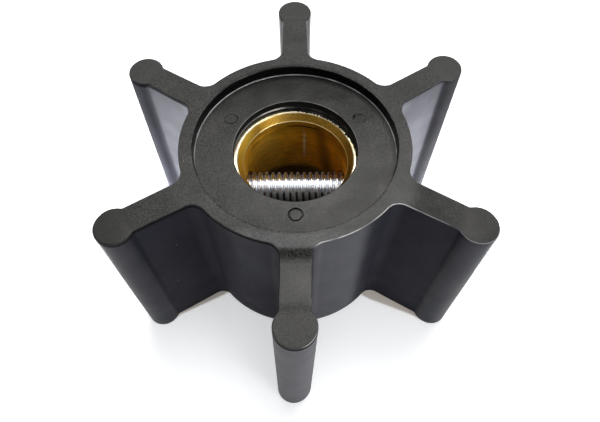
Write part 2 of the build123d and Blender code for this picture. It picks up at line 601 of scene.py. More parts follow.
# %% Lean and sink each vane
STANCE = {
    # vane's angle: lean at the bead, change of reach, more lean at the foot, depth of the root's sink
    30: (0.60, 0.15, 0.0, 0.06), 90: (0.0, 0.25, 0.0, 0.06), 150: (-0.40, -0.20, 0.30, 0.06),
    210: (0.20, 0.0, 0.0, 0.06), 270: (-0.12, 0.0, -0.28, 0.32), 330: (-0.22, 0.2, 0.0, 0.06)}
LEAN_FROM, LEAN_POWER = 16.0, 1.2
# distances from the axis between which the root's sink grows, and then fades to a fifth
SINK_GROWS, SINK_FADES = (16.6, 17.9), (18.5, 23.5)
NECK_AT, NECK_SPREAD, NECK_SINK = 25.2, 0.55, 0.035


def settle(obj):
    """Moves the points of each vane to its stance."""
    spots = np.empty(len(obj.data.vertices) * 3)
    obj.data.vertices.foreach_get("co", spots)
    spots = spots.reshape(-1, 3) / MM
    turned = np.degrees(np.arctan2(spots[:, 1], spots[:, 0]))
    nearest = np.round((turned - FIRST_VANE) / VANE_PITCH) * VANE_PITCH + FIRST_VANE
    for angle, (lean, reach, foot, sink) in STANCE.items():
        mine = (nearest - angle) % TURN == 0
        a = math.radians(angle)
        along, aside = np.array([math.cos(a), math.sin(a)]), np.array([-math.sin(a), math.cos(a)])
        local = spots[mine]
        x, z = local[:, :2] @ along, local[:, 2]
        share = np.clip((x - LEAN_FROM) / (BEAD_CENTRE - LEAN_FROM), 0, None) ** LEAN_POWER
        local[:, :2] += ((lean + foot * (1 - z / WIDTH)) * share)[:, None] * aside
        local[:, :2] += (reach * share)[:, None] * along
        dip = sink * step_between(x, *SINK_GROWS) * (1 - 0.8 * step_between(x, *SINK_FADES))
        dip += NECK_SINK * np.exp(-((x - NECK_AT) / NECK_SPREAD) ** 2)
        local[:, 2] -= dip * (step_between(z, WIDTH - 2.4, WIDTH - 0.4)
                              - 0.5 * (1 - step_between(z, 0.4, 2.4)))
        spots[mine] = local
    obj.data.vertices.foreach_set("co", (spots * MM).ravel())
    obj.data.update()


settle(wheel)
print("deepest sink:", max(row[3] for row in STANCE.values()), "mm")
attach(wheel, "root")
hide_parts("rubber_body")

# %% [markdown]
# ## Brass insert
# The insert is turned: its section is a closed line of radius and height, swept round the axis. The
# outside follows the flutes. The screw's hole is then cut across it with a Boolean modifier.

# %% Build the insert
FACE_AT = WIDTH - COVER
CONE_FOOT = FACE_AT - FLARE_DEEP
HOLE_CLEARANCE = 0.22
groove = FACE_AT - 2.35  # a fine groove that the tool left in the bore
insert_profile = [
    (SEAT, COVER + FLARE_DEEP), (SEAT, SEAT_END - 0.1), (SEAT + 0.1, SEAT_END),
    (RELIEVED, SEAT_END + 0.02), (RELIEVED, groove - 0.14), (RELIEVED + 0.05, groove - 0.08),
    (RELIEVED + 0.05, groove + 0.06), (RELIEVED, groove + 0.1), (RELIEVED, CONE_FOOT - 0.03),
    (RELIEVED + 0.03, CONE_FOOT + 0.03), (RELIEVED + 0.68, FACE_AT - 0.24),
    (RELIEVED + 0.76, FACE_AT - 0.12), (RELIEVED + 0.84, FACE_AT - 0.04),
    (RELIEVED + FLARE_WIDE + 0.04, FACE_AT),
    (fluted(0.4), FACE_AT), (fluted(), FACE_AT - 0.4), (fluted(), COVER + 0.4), (fluted(0.4), COVER),
    (SEAT + FLARE_WIDE, COVER)]
insert_rings = ring_rows(supported(insert_profile, step=2.5, closed=True))
insert = make_mesh("insert", *sweep(insert_rings, closed=True))
print("open edges of the insert:", tidy(insert))


def cut_across(target, radius, half, at):
    """Cuts a round hole along X through a piece."""
    bm = bmesh.new()
    turn = Matrix.Translation((0, 0, at * MM)) @ Matrix.Rotation(math.pi / 2, 4, "Y")
    bmesh.ops.create_cone(bm, cap_ends=True, segments=72, radius1=radius * MM, radius2=radius * MM,
                          depth=2 * half * MM, matrix=turn)
    mesh = bpy.data.meshes.new("cutter")
    bm.to_mesh(mesh)
    bm.free()
    cutter = link("cutter", mesh)
    modifier = target.modifiers.new("hole", "BOOLEAN")
    modifier.object, modifier.operation, modifier.solver = cutter, "DIFFERENCE", "EXACT"
    target.data = taken_mesh(target, modifier)
    bpy.data.objects.remove(cutter)


cut_across(insert, SCREW + HOLE_CLEARANCE, INSERT + 1, SCREW_AT)
brass = bpy.data.materials.new("turned_brass")
insert.data.materials.clear()
insert.data.materials.append(brass)
print("insert:", len(insert.data.polygons), "faces")
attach(insert, "root")
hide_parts("brass_insert")

# %% [markdown]
# ## Drive screw
# A thread is a rule too: a grid of points is rolled up round the screw's axis and slid along by one
# pitch a turn, and the point's place within the pitch sets its radius. The grid's rows then follow
# the crests. Points beyond an end are held in the end's plane, under a cone for the chamfer, and the
# last rows shrink to the axis, which closes the end.

# %% Geometry Nodes: a threaded rod
PITCH, THREAD_DEPTH, SCREW_CHAMFER = 1.0, 0.42, 0.6
# where a flank begins and ends, as shares of the pitch from the crest
FLANK_TOP, FLANK_FOOT = 0.04, 0.40


def threaded_rod():
    """Tree that makes a rod along X with a rolled thread."""
    w, given = new_tree("threaded_rod", [
        ("Radius", "Float", SCREW * MM), ("Pitch", "Float", PITCH * MM),
        ("Depth", "Float", THREAD_DEPTH * MM), ("Half Length", "Float", SCREW_HALF * MM),
        ("Chamfer", "Float", SCREW_CHAMFER * MM), ("Height", "Float", 0.0),
        ("Steps per Pitch", "Int", 16), ("Steps per Turn", "Int", 48), ("Material", "Material", None)])
    pitch, half_length = given["Pitch"], given["Half Length"]
    long = w.calc("MULTIPLY", w.calc("ADD", half_length, pitch), 2.0)
    turns = w.calc("CEIL", w.calc("DIVIDE", long, pitch))
    grid = w.node("GeometryNodeMeshGrid", {
        "Size X": 1.0, "Size Y": 1.0,
        "Vertices X": w.calc("ADD", w.calc("MULTIPLY", turns, given["Steps per Pitch"]), 1.0),
        "Vertices Y": w.calc("ADD", given["Steps per Turn"], 1.0)})
    place = w.node("ShaderNodeSeparateXYZ", {0: w.node("GeometryNodeInputPosition").outputs[0]})
    lengthwise, turned = place.outputs["X"], place.outputs["Y"]
    base = w.calc("MULTIPLY", lengthwise, w.calc("MULTIPLY", turns, pitch))
    slid = w.calc("ADD", base, w.calc("MULTIPLY", turned, pitch))
    x = w.calc("MAXIMUM", w.calc("MINIMUM", slid, half_length), w.calc("MULTIPLY", half_length, -1.0))
    # the whole number keeps the fraction's input above 0, the quarter sets where the crests lie
    within = w.calc("FRACT", w.calc("ADD", w.calc("DIVIDE", base, pitch), 100.25))
    from_crest = w.calc("ABSOLUTE", w.calc("SUBTRACT", within, 0.5))
    flank = w.node("ShaderNodeMapRange", {
        "Value": from_crest, "From Min": FLANK_TOP, "From Max": FLANK_FOOT},
        interpolation_type="SMOOTHSTEP")
    cut = w.calc("MULTIPLY", flank.outputs[0], given["Depth"])
    from_end = w.calc("SUBTRACT", half_length, w.calc("ABSOLUTE", x))
    cone = w.calc("ADD", w.calc("SUBTRACT", given["Radius"], given["Chamfer"]), from_end)
    round_part = w.calc("MINIMUM", w.calc("SUBTRACT", given["Radius"], cut), cone)
    last_row = w.calc("ADD", half_length, w.calc("MULTIPLY", pitch, 0.5))
    radius = w.calc("MULTIPLY", round_part, w.calc("LESS_THAN", w.calc("ABSOLUTE", slid), last_row))
    angle = w.calc("MULTIPLY", turned, 2 * math.pi)
    spot = w.node("ShaderNodeCombineXYZ", {
        "X": x, "Y": w.calc("MULTIPLY", radius, w.calc("COSINE", angle)),
        "Z": w.calc("ADD", w.calc("MULTIPLY", radius, w.calc("SINE", angle)), given["Height"])})
    rolled = w.node("GeometryNodeSetPosition", {
        "Geometry": grid.outputs["Mesh"], "Position": spot.outputs[0]})
    return dress(w, rolled.outputs[0], 0.004 * MM, given["Material"])


steel = bpy.data.materials.new("bright_steel")
seed = make_mesh("screw_seed", [(0, 0, 0)], [])
screw = baked(seed, "drive_rod", threaded_rod(), {
    "Radius": SCREW * MM, "Pitch": PITCH * MM, "Half Length": SCREW_HALF * MM,
    "Height": SCREW_AT * MM, "Material": steel})
bpy.data.objects.remove(seed)
print("open edges of the screw:", tidy(screw, gap=0.004))
print("screw:", len(screw.data.polygons), "faces")
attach(screw, "root")
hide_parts("drive_screw")

# %% [markdown]
# ## Shared patterns for the finishes
# A pattern that more than one material needs is a shader node group: a small machine with named
# inputs and outputs, built once. Each one reads a place in millimetres and puts out masks or heights.
# The shaders themselves stay in the materials. Most masks are products of smooth steps along X, Y, Z
# or the distance from the axis, so a mask is written as a list of such steps.

# %% Helpers for shader nodes
class Shading(Wiring):
    """The wiring of a shader tree, with the patterns that masks and colours are made of."""

    def ramp(self, value, low, high, to_low=0.0, to_high=1.0, kind="SMOOTHSTEP"):
        """A smooth step from to_low to to_high as value goes from low to high."""
        return self.node("ShaderNodeMapRange", {
            "Value": value, "From Min": low, "From Max": high, "To Min": to_low, "To Max": to_high},
            interpolation_type=kind).outputs[0]

    def mask(self, *parts):
        """Product of its parts. A part that is a row is the input of a ramp: a value, where 0, where 1."""
        result = None
        for part in parts:
            factor = self.ramp(*part) if isinstance(part, tuple) else part
            result = factor if result is None else self.calc("MULTIPLY", result, factor)
        return result

    def near(self, value, middle, full, none):
        """1 within full of the middle, 0 beyond none."""
        off = self.calc("ABSOLUTE", self.calc("SUBTRACT", value, middle))
        return self.ramp(off, none, full)

    def either(self, first, second):
        """The larger of two masks."""
        return self.calc("MAXIMUM", first, second)

    def rest(self, share):
        """What a mask leaves free."""
        return self.calc("SUBTRACT", 1.0, share)

    def total(self, *terms):
        """Sum of products. A term is a pair of values or sockets."""
        result = 0.0
        for first, second in terms:
            result = self.calc("MULTIPLY_ADD", first, second, result)
        return result

    def blend(self, share, first, second):
        """Goes from the first colour to the second as share goes from 0 to 1."""
        first, second = [(*c, 1) if isinstance(c, tuple) else c for c in (first, second)]
        return self.node("ShaderNodeMix", {0: share, 6: first, 7: second}, data_type="RGBA").outputs[2]

    def coats(self, colour, *rows):
        """Paints over a colour, one coat after the other. A row is a mask and a colour."""
        for share, coat in rows:
            colour = self.blend(share, colour, coat)
        return colour

    def stretched(self, place, scale):
        """The place, scaled along each axis: below 1 draws a pattern out along that axis."""
        return self.node("ShaderNodeVectorMath", {0: place, 1: scale}, operation="MULTIPLY").outputs[0]

    def noise(self, place, size, detail=2.0, roughness=0.5):
        """Noise with lumps of about the given size in mm."""
        return self.node("ShaderNodeTexNoise", {
            "Vector": place, "Scale": self.calc("DIVIDE", 1.0, size), "Detail": detail,
            "Roughness": roughness}).outputs["Fac"]

    def axes(self, place):
        """The place's X, Y and Z."""
        return list(self.node("ShaderNodeSeparateXYZ", {0: place}).outputs)

    def from_axis(self, place):
        """The distance from the Z axis."""
        flat = self.stretched(place, (1, 1, 0))
        return self.node("ShaderNodeVectorMath", {0: flat}, operation="LENGTH").outputs["Value"]

    def use(self, group, **inputs):
        """Places a group in this tree and gives back its outputs."""
        return self.node("ShaderNodeGroup", inputs, node_tree=group).outputs


def shader_group(name, inputs, build):
    """A shader node group. Build makes its nodes and gives back the sockets that it puts out, by name."""
    group = bpy.data.node_groups.new(name, "ShaderNodeTree")
    for label, value in inputs.items():
        kind = "NodeSocketVector" if value is None else "NodeSocketFloat"
        made = group.interface.new_socket(label, in_out="INPUT", socket_type=kind)
        if value is not None:
            made.default_value = value
    w = Shading(group)
    results = build(w, w.node("NodeGroupInput").outputs)
    for label in results:
        group.interface.new_socket(label, in_out="OUTPUT", socket_type="NodeSocketFloat")
    w.node("NodeGroupOutput", results)
    return group


# %% Group: which way a surface faces
def facing(w, given):
    """Level is 1 on ends and floors. Edge is 1 on the rounded edges between level and wall."""
    steep = w.calc("ABSOLUTE", w.axes(given["Normal"])[2])
    return {"Level": w.ramp(steep, 0.80, 0.97), "Edge": w.mask((steep, 0.12, 0.45), (steep, 0.985, 0.82))}


FACING = shader_group("facing", {"Normal": None}, facing)
print("group made:", FACING.name)


# %% Group: fine grain
def fine_grain(w, given):
    """Orange peel of a given size in mm. Height is about -0.5 to 0.5, Mottle a wide soft cloud."""
    place, size = given["Place"], given["Size"]
    fine = w.noise(place, size, 2.0, 0.55)
    wide = w.noise(place, w.calc("MULTIPLY", size, 2.6), 1.0)
    cloud = w.noise(place, w.calc("MULTIPLY", size, 24.0), 3.0)
    both = w.calc("ADD", w.calc("MULTIPLY", fine, 0.8), w.calc("MULTIPLY", wide, 0.2))
    return {"Height": w.calc("MULTIPLY_ADD", both, 2.0, -1.0), "Mottle": w.ramp(cloud, 0.3, 0.7)}


GRAIN = shader_group("fine_grain", {"Place": None, "Size": 0.2}, fine_grain)
print("group made:", GRAIN.name)


# %% Group: rings left by turning
def turning_rings(w, given):
    """Fine rings round the Z axis, on flats and on walls alike. They fade in and out along the turn."""
    place = given["Place"]
    across = w.node("ShaderNodeCombineXYZ", {"X": w.from_axis(place), "Z": w.axes(place)[2]}).outputs[0]
    drift = w.stretched(place, (0.06, 0.06, 0.0))
    spot = w.node("ShaderNodeVectorMath", {0: across, 1: drift}, operation="ADD").outputs[0]
    fine = w.noise(spot, given["Pitch"], 2.0, 0.6)
    broad = w.noise(spot, w.calc("MULTIPLY", given["Pitch"], 7.0), 2.0)
    return {"Height": w.calc("MULTIPLY_ADD", fine, 2.0, -1.0), "Streak": w.ramp(broad, 0.35, 0.65)}


RINGS = shader_group("turning_rings", {"Place": None, "Pitch": 0.12}, turning_rings)
print("group made:", RINGS.name)


# %% Group: worn edges
def edge_wear(w, given):
    """Edges that are rubbed here and there. Rub is the wide mask, Nick the mask of small bits."""
    place, edge, patch = given["Place"], given["Edge"], given["Patch"]
    low = w.calc("MULTIPLY_ADD", given["Amount"], -0.4, 0.66)
    kept = w.ramp(w.noise(place, patch, 3.0, 0.6), low, w.calc("ADD", low, 0.16))
    bits = w.noise(place, w.calc("MULTIPLY", patch, 0.16), 2.0)
    return {"Rub": w.mask(kept, edge), "Nick": w.mask((bits, 0.66, 0.74), edge)}


WEAR = shader_group("edge_wear", {"Place": None, "Edge": 0.0, "Patch": 2.0, "Amount": 0.5}, edge_wear)
print("group made:", WEAR.name)


# %% Group: dust specks
def dust_specks(w, given):
    """Few small round specks. Spacing and Size are in mm, Share is the part of the cells that has one."""
    cells = w.node("ShaderNodeTexVoronoi", {
        "Vector": given["Place"], "Scale": w.calc("DIVIDE", 1.0, given["Spacing"])}).outputs
    away = w.calc("MULTIPLY", cells["Distance"], given["Spacing"])
    dot = w.ramp(away, w.calc("MULTIPLY", given["Size"], 0.5), given["Size"], 1.0, 0.0, "LINEAR")
    chance = w.node("ShaderNodeSeparateColor", {0: cells["Color"]}).outputs[0]
    return {"Speck": w.mask(dot, w.calc("LESS_THAN", chance, given["Share"]))}


DUST = shader_group("dust_specks", {"Place": None, "Spacing": 2.0, "Size": 0.12, "Share": 0.2}, dust_specks)
print("shader groups:", [g.name for g in bpy.data.node_groups if g.type == "SHADER"])

# %% [markdown]
# ## Rubber
# The ends were moulded against a blasted steel plate, which left an orange peel. The walls ran along
# polished steel, so they are smoother. Soot makes the rubber black: nearly all that is seen is gloss.
# The finish is built from masks that tell where on the wheel a point lies, in millimetres. They set
# how deep the grain is, how rough the skin is, and which coats of colour lie on it, some of them
# painted light and painted shade.

# %% How each finish starts
def start_finish(material, specular=0.5, metallic=0.0):
    """Starts a material: its wiring, its shader, the place in mm and the way the surface faces."""
    material.use_nodes = True
    w = Shading(material.node_tree)
    shader = w.tree.nodes["Principled BSDF"]
    shader.inputs["Specular IOR Level"].default_value = specular
    shader.inputs["Metallic"].default_value = metallic
    given = w.node("ShaderNodeTexCoord").outputs
    place = w.node("ShaderNodeVectorMath", {0: given["Object"], "Scale": 1 / MM}, operation="SCALE")
    return w, shader, place.outputs[0], w.use(FACING, Normal=given["Normal"])


def end_finish(w, shader, colour, rough, height):
    """Feeds colour, roughness and a height in mm to the shader."""
    bump = w.node("ShaderNodeBump", {"Height": height, "Distance": MM})
    for value, name in ((colour, "Base Color"), (rough, "Roughness"), (bump.outputs[0], "Normal")):
        w.tree.links.new(value, shader.inputs[name])
    print("nodes in this finish:", len(w.tree.nodes))


# %% Rubber: what is known of a point on its skin
# Y falls from the back to the front, so a step from -3 to -6 is 1 on the front half.
FRONT, BACK = (-3.0, -6.0), (3.0, 6.0)


def rubber_skin(w, place, face):
    """A point's place, masks for the parts of the wheel, and the patterns that lie on them."""
    (x, y, z), away = w.axes(place), w.from_axis(place)
    aside = w.calc("ABSOLUTE", x)
    level, edge = face["Level"], face["Edge"]
    wall = w.rest(level)
    outer = w.ramp(away, RECESS + 0.3, RECESS + 0.6)
    tip = w.ramp(away, 24.8, 25.8)
    side_bead = w.mask(wall, (aside, 10.0, 12.0), tip)
    front_bead = w.ramp(y, -24.0, -26.0)
    left_or_vane = w.either(w.ramp(x, 0.5, -0.5), w.ramp(x, 9.0, 11.0))
    peel = w.use(GRAIN, Place=place, Size=0.15)
    smooth_tip = w.ramp(away, 23.6, 25.4, 1.0, 0.35)
    return SimpleNamespace(
        place=place, x=x, y=y, z=z, away=away, aside=aside, level=level, edge=edge, wall=wall,
        outer=outer, inner=w.rest(outer), front_bead=front_bead, peel=peel, smooth_tip=smooth_tip,
        back_vane=w.mask(wall, (y, 17.5, 19.5)), front_beads=w.mask(side_bead, (y, *FRONT)),
        back_beads=w.mask(side_bead, (y, *BACK)),
        side_webs=w.mask(wall, (y, *FRONT), left_or_vane, w.rest(tip)),
        # painted shade under the rim, and a rougher, dented patch at the front vane's root that is painted
        # darker as shade
        under_rim=w.mask((z, WIDTH - 0.80, WIDTH - 0.62), (z, WIDTH - 0.08, WIDTH - 0.16), outer, wall,
                         w.either(front_bead, w.ramp(x, 1.9, 0.9))),
        flow=w.mask((y, -18.6, -17.6), (y, -16.6, -17.2), (aside, 3.6, 1.6), level),
        pores=w.mask((peel["Height"], -0.16, 0.16, -1.0, 1.0), smooth_tip),
        bands=w.noise(w.stretched(place, (1, 1, 0.06)), 2.4, 1.0),
        rubbed=w.use(WEAR, Place=place, Edge=edge, Patch=2.2, Amount=0.5),
        dust=w.use(DUST, Place=place, Spacing=1.7, Size=0.085, Share=0.10))


# %% Rubber: grain and gloss
def rubber_height(w, skin):
    """Grain on the ends, soft bands along Z and faint level lines on the walls, in mm."""
    level, wall, peel = skin.level, skin.wall, skin.peel
    rings = w.use(RINGS, Place=skin.place, Pitch=0.16)
    lines = w.noise(w.stretched(skin.place, (0.05, 0.05, 1)), 0.30, 2.0)
    coarse = w.mask((peel["Mottle"], 0, 1, 0.6, 1.3, "LINEAR"), skin.smooth_tip, level)
    peel_depth = w.total((coarse, 0.058), (wall, 0.004), (skin.flow, 0.18))
    return w.total((peel["Height"], peel_depth), (w.mask(skin.bands, wall), 0.05),
                   (w.mask(lines, wall), 0.002), (w.mask(rings["Height"], level), 0.0015),
                   (skin.rubbed["Nick"], -0.04), (skin.dust["Speck"], 0.02))


def rubber_rough(w, skin):
    """Walls and ends have their own roughness, and each mask adds or takes some."""
    in_mouth = w.ramp(skin.away, MOUTH + 0.4, MOUTH + 0.25, 0.30, 0.85)
    walls = w.total((skin.inner, in_mouth), (skin.outer, 0.58))
    satin = w.ramp(skin.peel["Mottle"], 0.0, 1.0, -0.03, 0.03, "LINEAR")
    return w.total(
        (skin.wall, walls), (skin.level, 0.46), (satin, 1.0), (skin.rubbed["Rub"], -0.08),
        (skin.flow, 0.25), (skin.edge, -0.42), (skin.back_vane, -0.42), (skin.side_webs, 0.16),
        (skin.front_beads, -0.06), (skin.back_beads, 0.28), (skin.under_rim, 0.35),
        (w.mask(skin.pores, skin.level), -0.05))


# %% Rubber: colours of the ends and the walls
# colours, as shares of red, green and blue
SKIN = (0.008, 0.0079, 0.0074), (0.012, 0.0119, 0.0112)
WALL = (0.0035, 0.0036, 0.0100), (0.0065, 0.0068, 0.0155)
# a lighter colour for the grain's peaks, and painted light for the front of the ends
SKIN_PEAK, ENDS_LIT = (0.046, 0.046, 0.044), (0.075, 0.075, 0.074)
WALL_LIT, BEAD_LIT = (0.064, 0.065, 0.078), (0.062, 0.061, 0.072)
# a painted tint for the right back bead's side
BEAD_RIGHT_TINT = (0.0070, 0.0071, 0.0082)
# painted shade: the first colour darkens parts of the ends, the second the recess and the mouth
PAINTED_SHADE, RECESS_SHADE = (0.003,) * 3, (0.002,) * 3


def end_colour(w, skin):
    """Grain, painted light on the front, and painted shade at the back of the recess and far out at the
    front.
    """
    x, y, away = skin.x, skin.y, skin.away
    # painted light on the front ends and the front vane's web; painted shade at the back of the recess and
    # on the far ends at the front
    lit_front = w.mask((y, 8.0, -8.0), (x, -13.0, 5.0, 0.35, 1.0), (away, HUB + 3.0, HUB + 1.0))
    web = w.mask((y, -18.3, -19.0), (y, -24.6, -23.6), (skin.aside, 3.6, 3.0))
    back_shade = w.mask((y, 3.0, 12.0, 0.0, 0.9), skin.inner)
    far_out = w.either(w.ramp(x, 14.5, 18.0), w.ramp(x, -20.0, -23.0))
    return w.coats(w.blend(skin.peel["Mottle"], *SKIN),
                   (w.ramp(skin.pores, -1, 1, 0, 0.72), SKIN_PEAK),
                   (w.mask(w.either(lit_front, web), 0.58), ENDS_LIT),
                   (w.either(back_shade, w.mask(far_out, (y, *FRONT, 0.0, 0.55))), PAINTED_SHADE))


def wall_colour(w, skin):
    """Painted light on the hub's front and the front bead, a painted tint on the right back bead's side,
    and painted shade in the recess and the mouth.
    """
    x, front = skin.x, w.ramp(skin.y, -6.0, -12.0)
    hub_right = w.mask((x, 1.8, 3.2), (x, 10.4, 8.4), front, (skin.away, HUB + 2.0, HUB + 0.4))
    hub_left = w.mask((x, -1.8, -3.2), (x, -9.4, -7.6), (skin.z, 10.0, 24.0, 0.0, 0.36), front)
    right_back = w.mask(skin.back_beads, (x, -1.0, 1.0))
    return w.coats(w.blend(skin.bands, *WALL), (hub_right, WALL_LIT), (hub_left, WALL_LIT),
                   (skin.front_bead, BEAD_LIT), (right_back, BEAD_RIGHT_TINT), (skin.inner, RECESS_SHADE))


# %% Rubber: painted highlights on edges and lines
def painted_edge_highlights(w, skin):
    """Painted highlights along the edges at the hub's front right and on the front bead."""
    x, y = skin.x, skin.y
    front_right = w.mask(skin.edge, (x, 1.9, 3.0), (y, -7.0, -10.0), skin.outer)
    hub_edge = w.mask(w.calc("POWER", front_right, 3.0), (skin.bands, 0.30, 0.52, 0.35, 1.0),
                      (skin.away, HUB + 2.0, HUB + 6.0, 1.0, 0.3))
    bead_edge = w.mask(w.calc("POWER", skin.edge, 3.0), (y, -27.4, -28.0), (x, 0.4, 1.2))
    return w.either(hub_edge, bead_edge)


def back_highlights(w, skin):
    """At the back: a painted glint on the lip's ridge, and painted highlight lines there and at the recess
    floor's rims.
    """
    x, z, away = skin.x, skin.z, skin.away
    floor_at, ridge_at = WIDTH - RECESS_DEPTH, WIDTH - COVER + LIP_HEIGHT - 0.03
    at_back = w.mask((skin.y, -5.0, 3.0), skin.wall)
    at_mouth = w.ramp(away, MOUTH + 0.3, MOUTH + 0.25, 0.0, 0.35)
    foot_line = w.mask(skin.inner, (z, floor_at + 0.16, floor_at + 0.05),
                       (z, floor_at - 0.12, floor_at - 0.06),
                       w.either(at_mouth, w.ramp(away, RECESS - 0.5, RECESS - 0.4)))
    ridge = w.mask(w.near(z, ridge_at, 0.10, 0.24), (x, 0.5, -3.5), (away, MOUTH + 0.3, MOUTH + 0.1))
    glint = w.mask(ridge, (x, -6.0, -4.6), (x, -0.8, -2.4))
    ridge_line = w.mask(ridge, w.calc("MULTIPLY_ADD", glint, -0.5, 0.5))
    lines = w.mask(w.either(foot_line, ridge_line), at_back, (skin.bands, 0.3, 0.6, 0.4, 1.0))
    return w.mask(glint, at_back), lines


# %% Finish of the rubber
# a painted sheen and the colour of wear; painted highlights for edges and lines and a painted glint; black
# for painted shade, and dust
SHEEN, RUBBED = (0.085, 0.089, 0.090), (0.07, 0.07, 0.068)
EDGE_HIGHLIGHT, LINE_HIGHLIGHT, GLINT = (0.50, 0.50, 0.51), (0.60, 0.60, 0.61), (0.95, 0.94, 0.95)
BLACK, RUBBER_DUST = (0.001,) * 3, (0.28, 0.27, 0.25)


def finish_rubber():
    w, shader, place, face = start_finish(rubber, specular=0.23)
    skin = rubber_skin(w, place, face)
    y, away, grain = skin.y, skin.away, skin.peel["Height"]
    # a painted sheen on the front of the ring, and painted shade as a dark line along the recess's front
    # edge
    sheen = w.mask((y, -13.6, -15.2), (y, -17.2, -16.4), skin.level, skin.outer,
                   (away, HUB + 2.2, HUB + 1.0), (grain, -0.14, 0.10, 0.35, 1.0))
    recess_edge_shade = w.mask(w.near(away, RECESS + 0.1, 0.10, 0.26), (y, -5.0, -10.0), (grain, 0.10, -0.10))
    glint, lines = back_highlights(w, skin)
    # coats: painted sheen, painted shade at the front vane's root, wear, painted edge highlights, painted
    # shade under the rim and along the recess's edge, a painted glint, painted highlight lines, and dust
    colour = w.coats(w.blend(skin.level, wall_colour(w, skin), end_colour(w, skin)), (sheen, SHEEN),
                     (w.mask(skin.flow, (grain, -0.05, 0.12, 1.0, 0.3)), PAINTED_SHADE),
                     (w.mask(skin.rubbed["Rub"], 0.5), RUBBED), (painted_edge_highlights(w, skin), EDGE_HIGHLIGHT),
                     (w.either(skin.under_rim, recess_edge_shade), BLACK), (glint, GLINT), (lines, LINE_HIGHLIGHT),
                     (skin.dust["Speck"], RUBBER_DUST))
    end_finish(w, shader, colour, rubber_rough(w, skin), rubber_height(w, skin))


finish_rubber()

# %% [markdown]
# ## Brass
# The insert is turned, so fine rings run round its bore and its face. The bore has darkened to a
# golden brown, while the cone at its mouth and the rim stay bright. A metal shows only what it
# mirrors, tinted by its base colour. So the stains, the tool's rings and the painted highlights,
# painted glow and painted shade on the cone and in the bore are coats of colour, which stay put from
# every side, and the bore is also rougher than the cone and the rim.

# %% Finish of the brass
CONE = (0.26, 0.145, 0.020), (0.37, 0.215, 0.036)
# the cone's grain, and a painted highlight for its left side
CONE_GRAIN, CONE_LEFT_HIGHLIGHT = (0.10, 0.05, 0.006), (0.92, 0.58, 0.07)
BORE = (0.68, 0.36, 0.020), (0.98, 0.56, 0.05)
# streaks of the bore, painted shade on its right side, and a painted glow at its left
BORE_STREAK, BORE_RIGHT_SHADE, BORE_GLOW = (0.74, 0.50, 0.14), (0.95, 0.36, 0.008), (1.0, 0.62, 0.08)
# dark turning rings, painted shade above, and a band of painted shade
RING_DARK, BORE_SHADE, BORE_BAND_SHADE = (0.34, 0.15, 0.012), (0.20, 0.09, 0.008), (0.16, 0.06, 0.004)
# a painted highlight line, an arc of painted shade, and a painted highlight stroke
CONE_FOOT_HIGHLIGHT, GROOVE_SHADE, STROKE_HIGHLIGHT = (1.0, 0.84, 0.42), (0.02, 0.010, 0.003), (1.0, 0.88, 0.60)
# painted shade at the bore's front, at its seat and on its level steps
BORE_FRONT_SHADE, SEAT_SHADE, STEP_SHADE = (0.020, 0.010, 0.003), (0.14, 0.07, 0.010), (0.012, 0.006, 0.002)
RIM, RIM_RUBBED = (0.88, 0.76, 0.48), (0.95, 0.86, 0.62)


